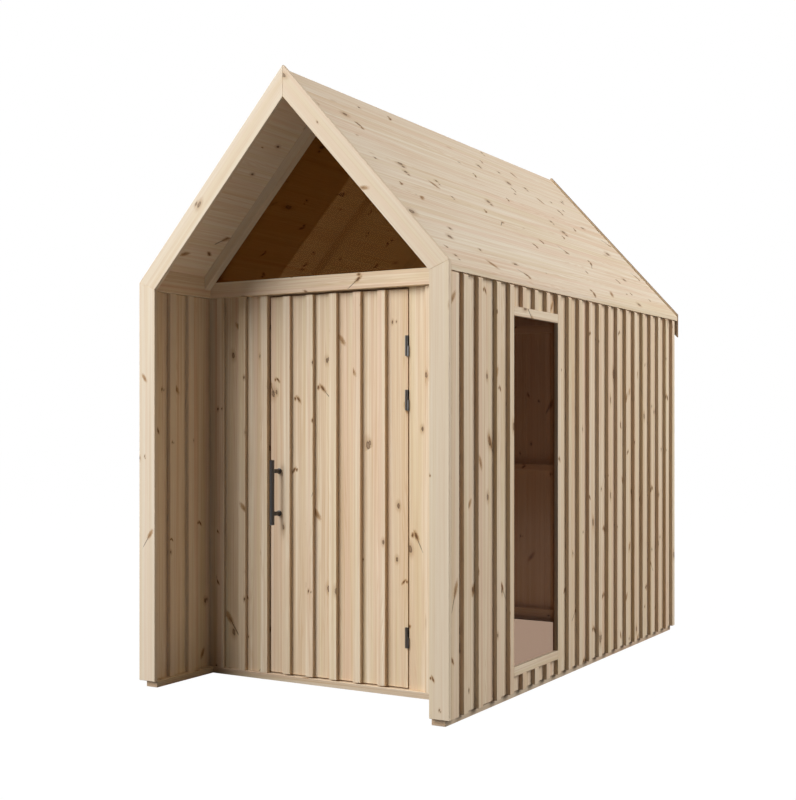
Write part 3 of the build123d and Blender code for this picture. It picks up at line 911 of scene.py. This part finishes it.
def bronze_glass(name, through):
    """Tinted sheet glass with a faint warm mirror and a slightly clouded skin."""
    material, tree, shader = new_material(name)
    place = Link(add_node(tree, "TexCoord", {}), "Object")
    cloud = Link(add_node(tree, "TexNoise", {"Vector": place, "Scale": cloud_scale, "Detail": 2.0}))
    fill(shader, {"Base Color": (*through, 1.0), "Transmission Weight": 1.0, "IOR": glass_bend,
                  "Specular Tint": mirror_tint, "Roughness": cloud * cloud_roughness})
    return material


panes = {"window_glass": (0.36, 0.245, 0.18), "gable_glass": (0.34, 0.2, 0.07)}
for node, through in panes.items():
    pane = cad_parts[node]
    pane.data.materials.clear()
    pane.data.materials.append(bronze_glass(node + "_bronze", through))
    print(node, "lets through", through)

# %% [markdown]
# ## Black ironwork
# Handle and hinges are steel with a black powder coat: nearly black, with a soft sheen and the fine
# orange-peel skin that a baked powder has. Two noises do it, one for the skin's bump and one that varies
# the sheen.

# %% Powder coat material
iron_dark, iron_light = screen_colour(24, 22, 25), screen_colour(34, 32, 35)
skin_scale, sheen_scale = 900.0, 60.0
skin_strength, skin_depth_m = 0.25, 0.0003
sheen_roughness, least_roughness = 0.08, 0.35
iron_gloss, iron_bend = 0.8, 1.8

powder_black, iron_tree, iron_shader = new_material("powder_black")
iron_place = Link(add_node(iron_tree, "TexCoord", {}), "Object")
noises = [{"Vector": iron_place, "Scale": skin_scale, "Detail": 2.0},
          {"Vector": iron_place, "Scale": sheen_scale, "Detail": 3.0}]
skin, sheen = (Link(add_node(iron_tree, "TexNoise", sockets)) for sockets in noises)
skin_bump = {"Strength": skin_strength, "Distance": skin_depth_m, "Height": skin}
fill(iron_shader, {"Base Color": tint(sheen, iron_dark, iron_light), "IOR": iron_bend,
                   "Specular IOR Level": iron_gloss, "Roughness": sheen * sheen_roughness + least_roughness,
                   "Normal": Link(add_node(iron_tree, "Bump", skin_bump))})
print("powder coat has", len(iron_tree.nodes), "nodes")

# %% [markdown]
# ## Handle and hinges
# The handle is a round bar on two posts, each with a round rose against the door. Turned pieces are
# profiles spun round an axis; a Screw modifier can do that, but a grid of radius and angle is only a few
# lines and keeps the poles closed. The hinges' CAD solids are already right in shape, barrel, seam and
# leaves, so they stay and only take the finish.

# %% Turned pieces
turn_steps = 40


def turned(profile, start, axis, first, second):
    """P = start + height x axis + radius x (cos t x first + sin t x second), for each row and angle t."""
    profile = np.asarray(profile, float)
    start, axis, first, second = (np.asarray(part, float) for part in (start, axis, first, second))
    angle = np.linspace(0, 2 * np.pi, turn_steps, endpoint=False)
    spoke = np.cos(angle)[:, None] * first + np.sin(angle)[:, None] * second
    points = start + profile[:, None, 1:] * axis + profile[:, None, :1] * spoke
    numbers = np.arange(len(profile) * turn_steps).reshape(len(profile), turn_steps)
    following = np.roll(numbers, -1, axis=1)
    sides = np.stack([numbers[:-1], following[:-1], following[1:], numbers[1:]], axis=-1).reshape(-1, 4)
    return points.reshape(-1, 3), sides, np.stack([numbers[0, ::-1], numbers[-1]])


def join_turned(name, parts):
    """Writes several turned parts into one mesh, with smooth sides and flat ends."""
    shift = np.cumsum([0] + [len(points) for points, _, _ in parts])
    points = np.concatenate([one[0] for one in parts])
    sides = np.concatenate([one[1] + start for one, start in zip(parts, shift)])
    caps = np.concatenate([one[2] + start for one, start in zip(parts, shift)])
    made = write_mesh(name, points, [sides, caps])
    smooth = np.concatenate([np.ones(len(sides), bool), np.zeros(len(caps), bool)])
    made.data.polygons.foreach_set("use_smooth", smooth)
    made.data.materials.append(powder_black)
    return made


print("turned pieces have", turn_steps, "steps round")

# %% Bar, posts and hinges
bar_low, bar_high = (np.array(corner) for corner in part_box("handle_bar"))
bar_radius = (bar_high[0] - bar_low[0]) / 2
bar_length = bar_high[2] - bar_low[2]
bar_edge, round_share = 0.0016, 0.3
bevel = round_share * bar_edge
bar_profile = [(bar_radius - bar_edge, 0), (bar_radius - bevel, bevel), (bar_radius, bar_edge),
               (bar_radius, bar_edge), (bar_radius, bar_length - bar_edge),
               (bar_radius, bar_length - bar_edge), (bar_radius - bevel, bar_length - bevel),
               (bar_radius - bar_edge, bar_length)]
bar_start = [(bar_low[0] + bar_high[0]) / 2, (bar_low[1] + bar_high[1]) / 2, bar_low[2]]
bar = join_turned("handle_bar_turned", [turned(bar_profile, bar_start, *upright_axes)])
fit_on(bar, "handle_bar", body="door", slot="black_metal")

rose_lows, rose_highs = solid_boxes("handle_standoffs")
rose_radius = (rose_highs[0, 2] - rose_lows[0, 2]) / 2
rose_thickness, post_radius, neck = 0.006, 0.011, 0.0015
back_edge, rose_edge, rose_bevel, sink_share = 0.0006, 0.0016, 0.0005, 0.6
neck_bevel = round_share * neck
posts = []
for low, high in zip(rose_lows, rose_highs):
    reach = high[1] - bar_start[1] - sink_share * bar_radius
    profile = [(rose_radius - back_edge, 0), (rose_radius, back_edge),
               (rose_radius, rose_thickness - rose_edge),
               (rose_radius - rose_bevel, rose_thickness - rose_bevel),
               (rose_radius - rose_edge, rose_thickness), (post_radius + neck, rose_thickness),
               (post_radius + neck_bevel, rose_thickness + neck_bevel),
               (post_radius, rose_thickness + neck), (post_radius, reach)]
    middle = [(low[0] + high[0]) / 2, high[1], (low[2] + high[2]) / 2]
    posts.append(turned(profile, middle, (0, -1, 0), (1, 0, 0), (0, 0, 1)))
standoffs = join_turned("handle_standoffs_turned", posts)
fit_on(standoffs, "handle_standoffs", body="door", slot="black_metal")
for node in ("frame_hinges", "door_hinges"):
    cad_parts[node].data.materials.clear()
    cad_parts[node].data.materials.append(powder_black)
print("handle bar is", round(bar_length * 1000), "mm long")

# %% [markdown]
# ## Ground and backdrop
# The shed stands on plain white. A white floor and a bright world would do, but the more light it takes
# to push them to white, the more the pine washes out. So the camera sees a white that gives no light, and
# the floor keeps a little of its own shading, so that the shed's shadow still ties it to the ground.

# %% Floor and world
floor_half = 40.0
floor_corners = np.array([(-1, -1, 0), (1, -1, 0), (1, 1, 0), (-1, 1, 0)], float) * floor_half
floor = write_mesh("white_floor", floor_corners, [np.array([[0, 1, 2, 3]])])
floor_paint, floor_tree, _ = new_material("floor_white")
floor_grey, floor_glow, white_share = 0.23, 1.03, 0.97
world_tone, world_strength = (1.0, 0.985, 0.965, 1.0), 0.03
white = (1.0, 1.0, 1.0, 1.0)


def seen_directly(tree):
    """1 for rays that come from the camera or through glass, and 0 for light and mirrors."""
    path = add_node(tree, "LightPath", {})
    return Link(path, "Is Camera Ray").math("MAXIMUM", Link(path, "Is Transmission Ray"))


floor_diffuse = add_node(floor_tree, "BsdfDiffuse", {"Color": (floor_grey, floor_grey, floor_grey, 1.0)})
floor_white = add_node(floor_tree, "Emission", {"Color": white, "Strength": floor_glow})
floor_sockets = {0: seen_directly(floor_tree) * white_share, 1: Link(floor_diffuse), 2: Link(floor_white)}
floor_mix = add_node(floor_tree, "MixShader", floor_sockets)
fill(floor_tree.nodes["Material Output"], {"Surface": Link(floor_mix)})
floor.data.materials.append(floor_paint)
floor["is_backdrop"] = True

world = bpy.data.worlds.new("pale_room")
world.use_nodes = True
scene.world = world
world_tree = world.node_tree
room_light = add_node(world_tree, "Background", {"Color": world_tone, "Strength": world_strength})
room_white = add_node(world_tree, "Background", {"Color": white, "Strength": 1.0})
room_sockets = {0: seen_directly(world_tree), 1: Link(room_light), 2: Link(room_white)}
room_mix = add_node(world_tree, "MixShader", room_sockets)
fill(world_tree.nodes["World Output"], {"Surface": Link(room_mix)})
print("floor and world made")

# %% [markdown]
# ## Light
# The shading of the real scene says where the light is: the portal is brightest, the porch's left cheek
# is dark, and the battens' sides are dark on both walls. So one broad soft light comes from the front, a
# little to the left, and a second one from the right, a little behind, fills the side wall and the roof.
# Sun lamps would light every part alike, but large disc lamps far away do nearly that, and their size is
# easy to picture. Inside, the pale ground sends light up the walls; a weak lamp laid on the ground stands
# for it.

# %% Two broad lights and a weak one
lit_point = np.array([0.0, 0.0, 1.3])
room_lamp_size, room_lamp_watts, room_lamp_tone = (1.4, 2.3), 6.0, (1.0, 0.93, 0.86)
room_lamp_place = (0.0, 0.2, 0.01)


def hang_lamp(name, shape, watts, colour, place, turn):
    """Hangs a flat lamp that neither the camera nor a ray through glass can see, and returns its data."""
    lamp_data = bpy.data.lights.new(name, "AREA")
    lamp_data.shape = shape
    lamp_data.energy = watts
    lamp_data.color = colour
    lamp = bpy.data.objects.new(name, lamp_data)
    lamp.location = place
    lamp.rotation_euler = turn
    lamp.visible_camera = False
    lamp.visible_transmission = False
    scene.collection.objects.link(lamp)
    return lamp_data


def broad_light(name, towards_deg, height_deg, distance, spread_deg, watts, colour):
    """A disc lamp that faces the shed: degrees round from the front to the right, degrees up, metres away."""
    turn, rise = np.radians(towards_deg), np.radians(height_deg)
    away = np.array([np.sin(turn) * np.cos(rise), -np.cos(turn) * np.cos(rise), np.sin(rise)])
    place = lit_point + distance * away
    lamp_data = hang_lamp(name, "DISK", watts, colour, place, (np.pi / 2 - rise, 0, turn))
    lamp_data.size = 2 * distance * np.tan(np.radians(spread_deg / 2))


broad_light("front_light", towards_deg=-33.0, height_deg=30.0, distance=16.0, spread_deg=47.0, watts=3200.0,
            colour=(0.975, 0.985, 0.995))
broad_light("side_light", towards_deg=116.0, height_deg=30.0, distance=12.0, spread_deg=44.0, watts=1300.0,
            colour=(1.0, 0.985, 0.97))
room_lamp = hang_lamp("room_light", "RECTANGLE", room_lamp_watts, room_lamp_tone, room_lamp_place,
                      (np.pi, 0.0, 0.0))
room_lamp.size, room_lamp.size_y = room_lamp_size

# %% Measure the change of size
visual_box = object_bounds()
sizes = {"cad": [list(corner) for corner in cad_box], "visual": [list(corner) for corner in visual_box]}
changes = [abs(a - b) for one, two in zip(*sizes.values()) for a, b in zip(one, two)]
print("largest change of size:", max(changes))
